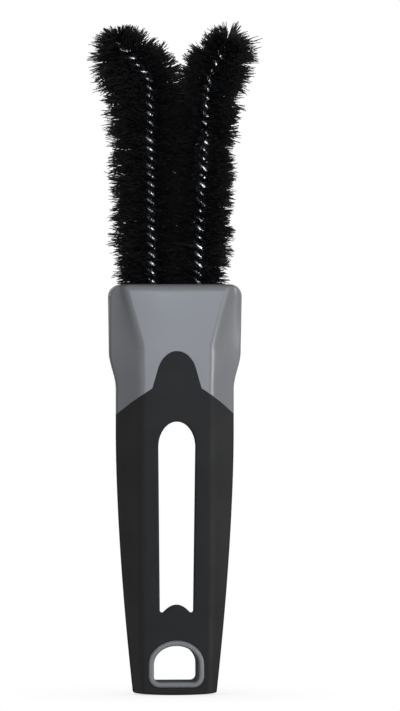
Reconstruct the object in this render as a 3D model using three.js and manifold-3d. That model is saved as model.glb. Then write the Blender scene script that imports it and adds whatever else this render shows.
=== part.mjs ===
// Wheel rim brush: a two-shot handle that carries a pair of twisted-wire brushes with splayed tips.
// Millimetres, +Z up along the handle, the front faces -Y, the origin is the middle of the butt end.

import * as THREE from 'three';
import { mergeVertices } from 'three/addons/utils/BufferGeometryUtils.js';
import Module from 'manifold-3d';

const wasm = await Module();
wasm.setup();

// Handle heights, stacked from the butt end upwards
const BUTT_WALL = 2.9; // rubber under the hang ring
const RING_WALL = 2.2; // grey ring round the hang hole
const HANG_HOLE_HEIGHT = 13.9;
const BRIDGE_HEIGHT = 10.8; // solid stretch between the hang ring and the slot
const SLOT_LENGTH = 73.5;
const SLOT_TO_SHOULDER = 2.9; // top of the slot to where the grip ends at the sides
const SHOULDER_RISE = 9.8; // the grip's edge climbs by this from the sides to the tongue
const TONGUE_HEIGHT = 14.4; // thumb tongue of the grip, on the head's front and back
const HEAD_ABOVE_TONGUE = 25.9;
const FLARE_START = 1.8; // the head's facets widen from this far above the tongue

// Handle section
const HEAD_WIDTH = 50.8;
const GRIP_WIDTH = 45.4;
const BUTT_WIDTH = 32;
const TAPER_LENGTH = 100; // the sides draw in over this length above the butt
const TAPER_SWEEP = 1.66; // 1 draws the sides in along straight lines, more along a bow
const HEAD_DEPTH = 26.4;
const BUTT_DEPTH = 17.6;
const FACET_WIDTH = 27.4; // flat band along the front and the back
const HEAD_FACET_WIDTH = 41.4; // the same band where it flares at the top of the head
const SIDE_WALL = 7.6; // upright side wall along the grip
const HEAD_SIDE_WALL = 19; // upright side wall at the top of the head
const GRIP_COVE = 1.1; // 1 makes the flanks flat, more scoops them
const HEAD_COVE = 3; // the same at the top of the head
const RIDGE_CHAMFER = 0.9; // broken edge where the flanks meet the facet and the side wall
const HEAD_CORNER = 4.8; // corner radius of the head, seen from the front
const HEAD_EDGE = 2.8; // rounding of the head's top edge
const BUTT_EDGE = 1.3; // rounding of the butt's edge

// Openings in the handle
const SLOT_WIDTH = 14.2; // at its top, on the front
const SLOT_FOOT_WIDTH = 12.8;
const SLOT_ARCH = 9.7; // height of the slot's rounded top
const SLOT_DRAFT = 2.2; // the slot opens by this on each side towards the back
const SLOT_HUMP = 3; // the rounded hump in the middle of the slot's foot
const SLOT_CORNER = 0.8;
const SLOT_EAR = 1.5; // quarter turns from the slot's side round a lower corner into the hump
const HANG_HOLE_WIDTH = 17.3;
const HANG_ARCH = 7.2; // height of the hang hole's rounded top
const HANG_CORNER = 2.1;
const RING_PROUD = 0.4; // the ring stands out of the grip's face by this
const RING_EDGE = 0.6; // broken edge of the ring

// Rubber grip
const GRIP_WALL = 2.2; // rubber thickness over the core
const TONGUE_WIDTH = 18.8; // at its foot
const TONGUE_TIP_WIDTH = 15.5; // where its rounded tip starts
const TONGUE_TIP = 10.4; // height of the rounded tip
const TONGUE_TIP_SWEEP = 0.8; // the tip turns through this share of a right angle on each side
const SHOULDER_BOW = 0.18; // 0 makes the shoulders straight, more bows them upwards
const FIT_GAP = 0.3; // clearance between seated pieces

// Stem holder in the head
const HEAD_WALL = 6.2; // from the head's widest outline to the holder
const HOLDER_HEIGHT = 26;
const HOLDER_CORNER = 3;
const HOLDER_RECESS = 1; // its top lies below the head's top by this
const SNAP_HEIGHT = 0.8; // snap ridges on the holder's front and back
const SNAP_RUN = 2.4; // height of a ridge at its root
const SNAP_SPAN = 26; // length of a ridge
const SNAP_LEVEL = 9; // below the head's top

// Twisted wires
const STEM_SPACING = 17.3; // between the two stems where they leave the head
const WIRE_DIAMETER = 1.3;
const TWIST_RADIUS = 1.2; // stem axis to the middle of a wire leg
const TURN_LENGTH = 6.8; // length of one full turn of the twist
const TWIST_HAND = -1; // -1 is a left-hand twist
const STEM_DEPTH = 10.7; // twisted length inside the holder
const LEG_DROP = 8; // the two legs run on below the twist by this
const LEG_SPREAD = 2.6; // and spread sideways by this, so the stem can't pull out
const LEG_KNEE = 0.25; // share of that drop at which a leg turns out of the twist
const EXIT_RADIUS = 70; // easy bend where a stem starts to lean
const TURN_STEPS = 8; // points along one turn of the twist
const FOLD_STEPS = 6; // points round the fold at the tip
const WIRE_SIDES = 5;
const BORE_SIDES = 16;
const LEG_SIDES = 10;

// The two brushes: lean and tip angles in degrees away from the middle, lengths along the stem.
// Reach is the bristle length, away from and towards the other brush, at the bend and at the end of the wire.
const LEFT_BRUSH = {
  side: -1,
  lean: 0.8,
  shaftLength: 75,
  bendRadius: 9.5,
  tipAngle: 39,
  tipLength: 15.9,
  outerReach: 19,
  innerReach: 13.6,
  tipOuterReach: 16,
  tipInnerReach: 10,
  levelShift: 0,
};
const RIGHT_BRUSH = {
  side: 1,
  lean: 2.9,
  shaftLength: 70.5,
  bendRadius: 22,
  tipAngle: 27,
  tipLength: 12.6,
  outerReach: 14.8,
  innerReach: 13.6,
  tipOuterReach: 16,
  tipInnerReach: 10,
  levelShift: 0.5,
};

// Bristles
const BRISTLE_START = 1; // lowest bristles above the head's top
const FOOT_SHARE = 0.84; // length of the lowest bristles, as a share of those at the bend
const BRISTLE_STEP = 0.8; // between bristle pairs along the stem, and a bristle's height at its root
const BRISTLE_WIDTH = 0.46; // a bristle's width at its root
const BRISTLE_SIDES = 4;
const TIP_SPLAY = 34; // the last bristles lean past the stem's end by this, in degrees
const SPLAY_LENGTH = 6; // over this length of the tip
const BRISTLE_CLEARANCE = 0.08; // bristles with less clear space between them are left out
const ROOT_SHARE = 0.15; // neighbours meet at their roots, so clear space counts past this share of a bristle
const CLEARANCE_PROBES = 14; // places along a bristle where it is measured

// Heights that follow from the stack
const RING_FOOT = BUTT_WALL;
const HOLE_FOOT = RING_FOOT + RING_WALL;
const HOLE_TOP = HOLE_FOOT + HANG_HOLE_HEIGHT;
const SLOT_FOOT = HOLE_TOP + RING_WALL + BRIDGE_HEIGHT;
const SLOT_TOP = SLOT_FOOT + SLOT_LENGTH;
const SHOULDER_FOOT = SLOT_TOP + SLOT_TO_SHOULDER;
const TONGUE_FOOT = SHOULDER_FOOT + SHOULDER_RISE;
const TONGUE_TOP = TONGUE_FOOT + TONGUE_HEIGHT;
const FLARE_FOOT = TONGUE_TOP + FLARE_START;
const HEAD_TOP = TONGUE_TOP + HEAD_ABOVE_TONGUE;

// How far a cutter reaches past the surfaces it cuts
const OVERSHOOT = 4;

// Materials

const greyPlastic = new THREE.MeshStandardMaterial({ color: 0x8a8e96, roughness: 0.42, metalness: 0 });
const blackRubber = new THREE.MeshStandardMaterial({ color: 0x2c2d30, roughness: 0.75, metalness: 0 });
const holderPlastic = new THREE.MeshStandardMaterial({ color: 0x6f7278, roughness: 0.5, metalness: 0 });
const steelWire = new THREE.MeshStandardMaterial({ color: 0xc9ccd0, roughness: 0.25, metalness: 1 });
const blackBristle = new THREE.MeshStandardMaterial({ color: 0x0c0c0d, roughness: 0.55, metalness: 0 });

// Solids and meshes

const { clamp, lerp, degToRad, smoothstep } = THREE.MathUtils;

// A closed geometry as a solid, turned right side out.
function solidOf(geometry) {
  const bare = geometry.clone();
  bare.deleteAttribute('normal');
  bare.deleteAttribute('uv');
  const merged = mergeVertices(bare);
  const vertProperties = new Float32Array(merged.attributes.position.array);
  const triVerts = new Uint32Array(merged.index.array);
  const made = new wasm.Manifold(new wasm.Mesh({ numProp: 3, vertProperties, triVerts }));
  if (made.volume() > 0) return made;
  triVerts.reverse();
  return new wasm.Manifold(new wasm.Mesh({ numProp: 3, vertProperties, triVerts }));
}

function geometryOf(solid) {
  const { vertProperties, triVerts } = solid.getMesh();
  const geometry = new THREE.BufferGeometry();
  geometry.setAttribute('position', new THREE.BufferAttribute(vertProperties, 3));
  geometry.setIndex(new THREE.BufferAttribute(triVerts, 1));
  geometry.computeVertexNormals();
  return geometry;
}

function part(name, solid, material) {
  const mesh = new THREE.Mesh(geometryOf(solid), material);
  mesh.name = name;
  return mesh;
}

// A closed geometry from its points and triangles, as a solid.
function solidFrom(points, index) {
  const geometry = new THREE.BufferGeometry();
  geometry.setAttribute('position', new THREE.Float32BufferAttribute(points.flatMap((p) => p.toArray()), 3));
  geometry.setIndex(index);
  return solidOf(geometry);
}

// A closed skin through rings of points, all with the same count.
// The cap gives the triangles that close the ring at an end.
function skin(rings, cap) {
  const count = rings[0].length;
  const index = [];
  for (let r = 0; r + 1 < rings.length; r += 1) {
    for (let i = 0; i < count; i += 1) {
      const a = r * count + i;
      const b = r * count + ((i + 1) % count);
      index.push(a, b, b + count, a, b + count, a + count);
    }
  }
  const last = (rings.length - 1) * count;
  for (const [a, b, c] of cap(rings[0])) index.push(c, b, a);
  for (const [a, b, c] of cap(rings.at(-1))) index.push(last + a, last + b, last + c);
  return solidFrom(rings.flat(), index);
}

// A skin through flat rings of any outline, whose ends are read in the plane of the two axes given.
function loft(rings, [across, along] = ['x', 'y']) {
  return skin(rings, (ring) => {
    const outline = ring.map((p) => new THREE.Vector2(p[across], p[along]));
    const faces = THREE.ShapeUtils.triangulateShape(outline, []);
    return THREE.ShapeUtils.area(outline) > 0 ? faces : faces.map(([a, b, c]) => [a, c, b]);
  });
}

// A flat outline in X and Z, run through the part from front to back.
function slab(outline, reach) {
  const shape = new THREE.Shape(outline);
  const geometry = new THREE.ExtrudeGeometry(shape, { depth: 2 * reach, bevelEnabled: false });
  return solidOf(geometry.translate(0, 0, -reach).rotateX(Math.PI / 2));
}

// Handle envelope

const FLANK_STEPS = 4;
const GRIP_STATIONS = 8;
const NECK_STATIONS = 5;
const EDGE_STATIONS = 3;
const CORNER_STATIONS = 5;

function evenly(from, to, count) {
  return Array.from({ length: count + 1 }, (_, i) => lerp(from, to, i / count));
}

// Half the handle's width at a height, without the head's rounded corners.
function halfWidthAt(z) {
  if (z < TAPER_LENGTH) {
    const drop = (1 - z / TAPER_LENGTH) ** TAPER_SWEEP;
    return lerp(GRIP_WIDTH, BUTT_WIDTH, drop) / 2;
  }
  return lerp(GRIP_WIDTH, HEAD_WIDTH, smoothstep(z, TONGUE_FOOT, TONGUE_TOP)) / 2;
}

function halfDepthAt(z) {
  return lerp(BUTT_DEPTH, HEAD_DEPTH, z / HEAD_TOP) / 2;
}

// The share of the way up the head's flare, from 0 at its foot to 1 at the head's top.
function flareAt(z) {
  return clamp((z - FLARE_FOOT) / (HEAD_TOP - FLARE_FOOT), 0, 1);
}

function cornerInsetAt(z) {
  const rise = Math.max(0, z - (HEAD_TOP - HEAD_CORNER));
  return HEAD_CORNER - Math.sqrt(Math.max(0, HEAD_CORNER ** 2 - rise ** 2));
}

// The handle's outline at a height: flat facets front and back, scooped flanks and upright side walls.
function sectionRing(z, sideInset, depthInset) {
  const half = halfWidthAt(z) - cornerInsetAt(z) - sideInset;
  const depth = halfDepthAt(z) - depthInset;
  const side = Math.min(lerp(SIDE_WALL, HEAD_SIDE_WALL, flareAt(z)) / 2, depth - 2 * RIDGE_CHAMFER);
  const widest = half - 3 * RIDGE_CHAMFER;
  const facet = Math.min((lerp(FACET_WIDTH, HEAD_FACET_WIDTH, flareAt(z)) - sideInset) / 2, widest);
  const cove = lerp(GRIP_COVE, HEAD_COVE, flareAt(z));
  const flank = (u) => [
    lerp(facet, half, u),
    lerp(side, depth, (1 - u) ** cove),
  ];
  const broken = RIDGE_CHAMFER / (half - facet);
  const quarter = [
    [facet - RIDGE_CHAMFER, depth],
    ...evenly(broken, 1 - broken, FLANK_STEPS).map(flank),
    [half, side - RIDGE_CHAMFER],
  ];
  const back = [...quarter].reverse();
  return [
    ...quarter.map(([x, y]) => new THREE.Vector3(x, -y, z)),
    ...back.map(([x, y]) => new THREE.Vector3(x, y, z)),
    ...quarter.map(([x, y]) => new THREE.Vector3(-x, y, z)),
    ...back.map(([x, y]) => new THREE.Vector3(-x, -y, z)),
  ];
}

// The handle's outer form, with both colours in one piece.
function envelope() {
  const rings = [];
  for (const turn of evenly(0, Math.PI / 2, EDGE_STATIONS)) {
    const inset = BUTT_EDGE * (1 - Math.sin(turn));
    rings.push(sectionRing(BUTT_EDGE * (1 - Math.cos(turn)), inset, inset));
  }
  for (const z of evenly(BUTT_EDGE, TAPER_LENGTH, GRIP_STATIONS).slice(1)) rings.push(sectionRing(z, 0, 0));
  for (const z of evenly(TONGUE_FOOT, TONGUE_TOP, NECK_STATIONS)) rings.push(sectionRing(z, 0, 0));
  rings.push(sectionRing(FLARE_FOOT, 0, 0));
  const cornerFoot = HEAD_TOP - Math.max(HEAD_CORNER, HEAD_EDGE);
  for (const turn of evenly(0, Math.PI / 2, CORNER_STATIONS)) {
    const z = lerp(cornerFoot, HEAD_TOP, Math.sin(turn));
    const rise = Math.max(0, z - (HEAD_TOP - HEAD_EDGE));
    rings.push(sectionRing(z, 0, HEAD_EDGE - Math.sqrt(Math.max(0, HEAD_EDGE ** 2 - rise ** 2))));
  }
  return loft(rings);
}

// The same form drawn in by a wall, from the butt up into the head.
function insetEnvelope(wall) {
  const heights = [
    ...evenly(wall, TAPER_LENGTH, GRIP_STATIONS),
    ...evenly(TONGUE_FOOT, TONGUE_TOP + wall, NECK_STATIONS),
  ];
  return loft(heights.map((z) => sectionRing(z, wall, wall)));
}

// Openings and seams

const ARC_STEPS = 6;
const ARCH_STEPS = 18;
const HUMP_STEPS = 12;
const SHOULDER_STEPS = 4;

// Points of an elliptical arc in X and Z, both ends included, with the angles in quarter turns.
function arc(x, z, radiusX, radiusZ, from, to, steps) {
  return evenly(from, to, steps).map((quarters) => {
    const angle = (quarters * Math.PI) / 2;
    return new THREE.Vector2(x + radiusX * Math.cos(angle), z + radiusZ * Math.sin(angle));
  });
}

// The slot's outline, grown by an offset: arched top, sides that draw in, and a hump between two lower ears.
function slotOutline(offset) {
  const corner = SLOT_CORNER + offset;
  const inner = SLOT_FOOT_WIDTH / 2 - SLOT_CORNER;
  const ear = arc(inner, SLOT_FOOT + SLOT_CORNER, corner, corner, -SLOT_EAR, 0, ARC_STEPS);
  const [{ x: humpEnd, y: humpFoot }] = ear;
  const crown = SLOT_FOOT + SLOT_HUMP - offset;
  const hump = evenly(-humpEnd, humpEnd, HUMP_STEPS).slice(1, -1).map((x) =>
    new THREE.Vector2(x, lerp(crown, humpFoot, (x / humpEnd) ** 2)));
  return [
    ...hump,
    ...ear,
    ...arc(0, SLOT_TOP - SLOT_ARCH, SLOT_WIDTH / 2 + offset, SLOT_ARCH + offset, 0, 2, ARCH_STEPS),
    ...ear.map(({ x, y }) => new THREE.Vector2(-x, y)).reverse(),
  ];
}

// The hang hole's outline, grown by an offset: a D with its flat bar towards the butt.
function hangOutline(offset) {
  const half = HANG_HOLE_WIDTH / 2 + offset;
  const corner = HANG_CORNER + offset;
  const foot = HOLE_FOOT - offset;
  return [
    ...arc(half - corner, foot + corner, corner, corner, -1, 0, ARC_STEPS),
    ...arc(0, HOLE_TOP - HANG_ARCH, half, HANG_ARCH + offset, 0, 2, ARCH_STEPS),
    ...arc(corner - half, foot + corner, corner, corner, 2, 3, ARC_STEPS),
  ];
}

// A solid that runs from the front facet to the back one.
// Each level names a facet, how far it stands out of that facet, and how far its outline is grown.
function throughSolid(outline, levels) {
  const rings = levels.map(({ facing, proud, offset }) =>
    outline(offset).map(({ x, y: z }) => new THREE.Vector3(x, facing * (halfDepthAt(z) + proud), z)));
  return loft(rings, ['x', 'z']);
}

function slotSolid(offset) {
  return throughSolid(slotOutline, [
    { facing: -1, proud: OVERSHOOT, offset },
    { facing: 1, proud: OVERSHOOT, offset: offset + SLOT_DRAFT },
  ]);
}

function ringSolid(offset, proud, edge) {
  return throughSolid(hangOutline, [
    { facing: -1, proud, offset: offset - edge },
    { facing: -1, proud: proud - edge, offset },
    { facing: 1, proud: proud - edge, offset },
    { facing: 1, proud, offset: offset - edge },
  ]);
}

// The grip's upper edge from the middle to one side: rounded tongue, its flared side, then the shoulder.
// The clearance moves it up into the head.
function seamHalf(clearance) {
  const tip = arc(
    0,
    TONGUE_TOP - TONGUE_TIP,
    TONGUE_TIP_WIDTH / 2 + clearance,
    TONGUE_TIP + clearance,
    1,
    1 - TONGUE_TIP_SWEEP,
    ARCH_STEPS / 2,
  );
  const start = TONGUE_WIDTH / 2 + clearance;
  const run = GRIP_WIDTH / 2 - start;
  const shoulder = evenly(0, 1 + OVERSHOOT / run, SHOULDER_STEPS).map((share) => {
    const drop = SHOULDER_RISE * share * lerp(1 - SHOULDER_BOW, 1, share);
    return new THREE.Vector2(start + run * share, TONGUE_FOOT + clearance - drop);
  });
  return [...tip, ...shoulder];
}

// Everything below the grip's upper edge.
function gripRegion(clearance) {
  const right = seamHalf(clearance);
  const left = right.slice(1).reverse().map(({ x, y }) => new THREE.Vector2(-x, y));
  const { x } = right.at(-1);
  const foot = [new THREE.Vector2(x, -OVERSHOOT), new THREE.Vector2(-x, -OVERSHOOT)];
  return slab([...left, ...right, ...foot], HEAD_DEPTH);
}

// Stem holder and its pocket

const CORNER_STEPS = 4;
const HOLDER_WIDTH = HEAD_WIDTH - 2 * HEAD_WALL;
const HOLDER_DEPTH = HEAD_DEPTH - 2 * HEAD_WALL;
const HOLDER_TOP = HEAD_TOP - HOLDER_RECESS;

// An upright block with rounded corners, grown by a clearance on every side.
function block(clearance, foot, top) {
  const x = HOLDER_WIDTH / 2 - HOLDER_CORNER;
  const y = HOLDER_DEPTH / 2 - HOLDER_CORNER;
  const radius = HOLDER_CORNER + clearance;
  const outline = [
    ...arc(x, y, radius, radius, 0, 1, CORNER_STEPS),
    ...arc(-x, y, radius, radius, 1, 2, CORNER_STEPS),
    ...arc(-x, -y, radius, radius, 2, 3, CORNER_STEPS),
    ...arc(x, -y, radius, radius, 3, 4, CORNER_STEPS),
  ];
  return loft([foot, top].map((z) => outline.map((p) => new THREE.Vector3(p.x, p.y, z))));
}

// The snap ridges across the holder's front and back, as one bar through it.
function snapBar(clearance) {
  const depth = HOLDER_DEPTH / 2;
  const reach = depth + SNAP_HEIGHT + clearance;
  const rise = SNAP_RUN / 2 + clearance;
  const middle = HEAD_TOP - SNAP_LEVEL;
  const outline = [[depth, -rise], [reach, -rise / 3], [reach, rise / 3], [depth, rise]];
  const profile = [...outline, ...[...outline].reverse().map(([y, z]) => [-y, z])];
  const half = SNAP_SPAN / 2 + clearance;
  const rings = [-half, half].map((x) => profile.map(([y, z]) => new THREE.Vector3(x, y, middle + z)));
  return loft(rings, ['y', 'z']);
}

// Stems

// A stem's route in the XZ plane, made of straight runs and arcs and measured by length from its start.
class Route {
  constructor(side, x, z) {
    this.side = side;
    this.end = { x, z, heading: 0 };
    this.length = 0;
    this.pieces = [];
  }

  add(length, bend) {
    const { x, z, heading } = this.end;
    this.pieces.push({ from: this.length, x, z, heading, bend });
    this.length += length;
    this.end = this.state(this.length);
    return this;
  }

  run(length) {
    return this.add(length, 0);
  }

  turn(radius, toDegrees) {
    const angle = degToRad(toDegrees) - this.end.heading;
    return this.add(radius * Math.abs(angle), Math.sign(angle) / radius);
  }

  // Place and heading at a length along the route, with the heading away from the middle.
  state(s) {
    const piece = this.pieces.findLast(({ from }) => from <= s) ?? this.pieces[0];
    const run = s - piece.from;
    const heading = piece.heading + run * piece.bend;
    const { x, z, bend } = piece;
    if (bend === 0) return { x: x + run * Math.sin(heading), z: z + run * Math.cos(heading), heading };
    return {
      x: x + (Math.cos(piece.heading) - Math.cos(heading)) / bend,
      z: z + (Math.sin(heading) - Math.sin(piece.heading)) / bend,
      heading,
    };
  }

  // The stem's axis point, its direction and the two directions square to it.
  frame(s) {
    const { x, z, heading } = this.state(s);
    const sine = this.side * Math.sin(heading);
    const cosine = Math.cos(heading);
    return {
      point: new THREE.Vector3(this.side * x, 0, z),
      along: new THREE.Vector3(sine, 0, cosine),
      across: new THREE.Vector3(cosine, 0, -sine),
    };
  }
}

const SIDEWAYS = new THREE.Vector3(1, 0, 0);
const BACKWARDS = new THREE.Vector3(0, 1, 0);
const UPWARDS = new THREE.Vector3(0, 0, 1);

function stemRoute(brush) {
  return new Route(brush.side, STEM_SPACING / 2, HEAD_TOP - STEM_DEPTH)
    .run(STEM_DEPTH)
    .turn(EXIT_RADIUS, brush.lean)
    .run(brush.shaftLength)
    .turn(brush.bendRadius, brush.tipAngle)
    .run(brush.tipLength);
}

// The length along the route at which the tip starts to bend away.
function bendStart(brush, route) {
  return route.length - brush.tipLength - brush.bendRadius * degToRad(brush.tipAngle - brush.lean);
}

const twistAngle = (s) => (TWIST_HAND * 2 * Math.PI * s) / TURN_LENGTH;

// The direction from the stem's axis at an angle round it.
function roundStem({ across }, angle) {
  return across.clone().multiplyScalar(Math.cos(angle)).addScaledVector(BACKWARDS, Math.sin(angle));
}

// The middle line of one wire: a spread leg, up one side of the twist, a fold at the tip and back down.
function hairpin(route) {
  const steps = Math.round((route.length / TURN_LENGTH) * TURN_STEPS);
  const climb = (phase) => evenly(0, route.length, steps).map((s) => {
    const frame = route.frame(s);
    return frame.point.addScaledVector(roundStem(frame, twistAngle(s) + phase), TWIST_RADIUS);
  });
  const tip = route.frame(route.length);
  const out = roundStem(tip, twistAngle(route.length));
  const fold = evenly(0, Math.PI, FOLD_STEPS).slice(1, -1).map((angle) => tip.point.clone()
    .addScaledVector(out, TWIST_RADIUS * Math.cos(angle))
    .addScaledVector(tip.along, TWIST_RADIUS * Math.sin(angle)));
  return [...leg(route, 1).reverse(), ...climb(0), ...fold, ...climb(Math.PI).reverse(), ...leg(route, -1)];
}

// The straight leg below one side of the twist, from the top down.
function leg(route, direction) {
  const { point, across, along } = route.frame(0);
  return [LEG_KNEE, 1].map((share) => point.clone()
    .addScaledVector(across, direction * (TWIST_RADIUS + share * LEG_SPREAD))
    .addScaledVector(along, -share * LEG_DROP));
}

// A round bar along a line of points, carried round the bends without twisting.
function bar(points, radius, sides) {
  let normal = null;
  const rings = points.map((point, i) => {
    const before = points[Math.max(0, i - 1)];
    const after = points[Math.min(points.length - 1, i + 1)];
    const along = after.clone().sub(before).normalize();
    normal = normal ?? new THREE.Vector3(along.z, along.x, along.y).cross(along);
    normal.addScaledVector(along, -normal.dot(along)).normalize();
    const binormal = along.clone().cross(normal);
    return evenly(0, 2 * Math.PI, sides).slice(0, -1).map((angle) => point.clone()
      .addScaledVector(normal, radius * Math.cos(angle))
      .addScaledVector(binormal, radius * Math.sin(angle)));
  });
  return skin(rings, (ring) => ring.slice(2).map((_, i) => [0, i + 1, i + 2]));
}

// The least clear space between stretches of one wire that aren't neighbours along it.
function leastGap(points) {
  const apart = 2 * (FOLD_STEPS + TURN_STEPS);
  let least = Infinity;
  for (let i = 0; i < points.length; i += 1) {
    for (let j = i + apart; j < points.length; j += 1) {
      least = Math.min(least, points[i].distanceTo(points[j]));
    }
  }
  return least - WIRE_DIAMETER;
}

// The room that the holder keeps for one stem: a bore round the twist and one round each leg.
function stemRoom(route) {
  const { point, across, along } = route.frame(0);
  const mouth = point.clone().addScaledVector(along, STEM_DEPTH + OVERSHOOT);
  const boreRadius = (TWIST_RADIUS + WIRE_DIAMETER / 2 + FIT_GAP) / Math.cos(Math.PI / BORE_SIDES);
  const legRadius = (WIRE_DIAMETER / 2 + FIT_GAP) / Math.cos(Math.PI / LEG_SIDES);
  const legs = [1, -1].map((direction) => {
    const side = point.clone().addScaledVector(across, direction * TWIST_RADIUS);
    const top = side.addScaledVector(along, FIT_GAP);
    const [knee, foot] = leg(route, direction);
    const end = foot.clone().addScaledVector(foot.clone().sub(knee).normalize(), FIT_GAP);
    return bar([top, knee, end], legRadius, LEG_SIDES);
  });
  return legs.reduce((room, next) => room.add(next), bar([point, mouth], boreRadius, BORE_SIDES));
}

// Bristles

// The stem's axis point and directions for the bristles at a length along it. Those of the shaft lie level.
function bristleFrame(brush, route, s) {
  const { point, along, across } = route.frame(s);
  const angle = twistAngle(s) + Math.PI / 2;
  if (s < bendStart(brush, route)) return { point, along: UPWARDS, across: SIDEWAYS, angle };
  return { point, along, across, angle };
}

// One bristle pair: a filament pinched at its middle by the wire, with a tip on each side of the stem.
function bristlePair(brush, route, s) {
  const { point, along, across, angle } = bristleFrame(brush, route, s);
  const out = roundStem({ across }, angle);
  const splay = degToRad(TIP_SPLAY) * Math.max(0, 1 - (route.length - s) / SPLAY_LENGTH);
  const bend = bendStart(brush, route);
  const climbed = clamp((s - STEM_DEPTH) / (bend - STEM_DEPTH), 0, 1);
  const bent = clamp((s - bend) / (route.length - bend), 0, 1);
  const tips = [1, -1].map((sign) => {
    const outward = (1 + sign * brush.side * out.dot(across)) / 2;
    const shaftReach = lerp(brush.innerReach, brush.outerReach, outward) * lerp(FOOT_SHARE, 1, climbed);
    const reach = lerp(shaftReach, lerp(brush.tipInnerReach, brush.tipOuterReach, outward), bent);
    return point.clone()
      .addScaledVector(out, sign * reach * Math.cos(splay))
      .addScaledVector(along, reach * Math.sin(splay));
  });
  return { point, tips };
}

// Whether a bristle pair stays clear of those already placed.
function isClear(pair, placed) {
  const shares = evenly(ROOT_SHARE, 1, CLEARANCE_PROBES);
  const probesTo = (tip) => shares.map((share) => ({ share, at: pair.point.clone().lerp(tip, share) }));
  const probes = pair.tips.flatMap(probesTo);
  const rootRadius = Math.hypot(BRISTLE_STEP, BRISTLE_WIDTH) / 2;
  const near = new THREE.Vector3();
  return placed.every((other) => other.tips.every((tip) => {
    const line = new THREE.Line3(other.point, tip);
    return probes.every(({ share, at }) => {
      const along = line.closestPointToPointParameter(at, true);
      const thickness = rootRadius * (2 - share - along);
      return line.at(along, near).distanceTo(at) > thickness + BRISTLE_CLEARANCE;
    });
  }));
}

// The bristles of one stretch of a stem: the square slice that the wire legs pinch, twisted with them,
// whose two open faces are drawn out into pointed bristles.
function bristles(brush, route, from, count, placed) {
  const lengths = evenly(from, from + count * BRISTLE_STEP, count);
  const points = lengths.flatMap((s) => {
    const { point, across, angle } = bristleFrame(brush, route, s);
    return evenly(0, 2 * Math.PI, BRISTLE_SIDES).slice(0, -1).map((turn) =>
      roundStem({ across }, angle + turn - Math.PI / BRISTLE_SIDES)
        .multiplyScalar(BRISTLE_WIDTH * Math.SQRT1_2)
        .add(point));
  });
  const index = [];
  for (let r = 0; r < count; r += 1) {
    const pair = bristlePair(brush, route, lengths[r] + BRISTLE_STEP / 2);
    const kept = isClear(pair, placed);
    if (kept) placed.push(pair);
    for (let face = 0; face < BRISTLE_SIDES; face += 1) {
      const a = BRISTLE_SIDES * r + face;
      const b = BRISTLE_SIDES * r + ((face + 1) % BRISTLE_SIDES);
      const [c, d] = [b + BRISTLE_SIDES, a + BRISTLE_SIDES];
      if (kept && face % 2 === 0) {
        const peak = points.push(pair.tips[face / 2]) - 1;
        index.push(a, b, peak, b, c, peak, c, d, peak, d, a, peak);
      } else {
        index.push(a, b, c, a, c, d);
      }
    }
  }
  const top = BRISTLE_SIDES * count;
  index.push(2, 1, 0, 3, 2, 0, top, top + 1, top + 2, top, top + 2, top + 3);
  return solidFrom(points, index);
}

// Assembly

const model = new THREE.Group();
model.name = 'wheel_rim_brush';

const outer = envelope();
const hangHole = ringSolid(0, RING_PROUD + OVERSHOOT, 0);
const holderFoot = HOLDER_TOP - HOLDER_HEIGHT;
const pocket = block(FIT_GAP, holderFoot - FIT_GAP, HEAD_TOP + OVERSHOOT).add(snapBar(FIT_GAP));

const core = outer.subtract(gripRegion(FIT_GAP))
  .add(insetEnvelope(GRIP_WALL).subtract(slotSolid(GRIP_WALL)))
  .add(ringSolid(RING_WALL, RING_PROUD, RING_EDGE))
  .subtract(hangHole)
  .subtract(pocket);
model.add(part('handle_core', core, greyPlastic));

const grip = outer.intersect(gripRegion(0))
  .subtract(insetEnvelope(GRIP_WALL - FIT_GAP).subtract(slotSolid(GRIP_WALL - FIT_GAP)))
  .subtract(slotSolid(0))
  .subtract(ringSolid(RING_WALL + FIT_GAP, RING_PROUD + OVERSHOOT, 0));
model.add(part('grip_overmould', grip, blackRubber));

let holder = block(0, holderFoot, HOLDER_TOP).add(snapBar(0));
const placed = [];
for (const [label, brush] of [['left', LEFT_BRUSH], ['right', RIGHT_BRUSH]]) {
  const route = stemRoute(brush);
  holder = holder.subtract(stemRoom(route));

  const wire = hairpin(route);
  console.log(`${label} twisted wire: least gap to itself ${leastGap(wire).toFixed(2)} mm`);
  model.add(part(`${label}_twisted_wire`, bar(wire, WIRE_DIAMETER / 2, WIRE_SIDES), steelWire));

  const bend = bendStart(brush, route);
  const first = STEM_DEPTH + BRISTLE_START + BRISTLE_STEP * brush.levelShift;
  const shaftCount = Math.floor((bend - first) / BRISTLE_STEP);
  const tipCount = Math.floor((route.length - bend - FIT_GAP) / BRISTLE_STEP);
  const shaft = bristles(brush, route, first, shaftCount, placed);
  const tip = bristles(brush, route, route.length - tipCount * BRISTLE_STEP, tipCount, placed);
  model.add(part(`${label}_shaft_bristles`, shaft, blackBristle));
  model.add(part(`${label}_tip_bristles`, tip, blackBristle));
}
model.add(part('stem_holder', holder, holderPlastic));
console.log(`${2 * placed.length} bristles, none crossing`);

export default model;
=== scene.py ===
import math
import random

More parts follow.
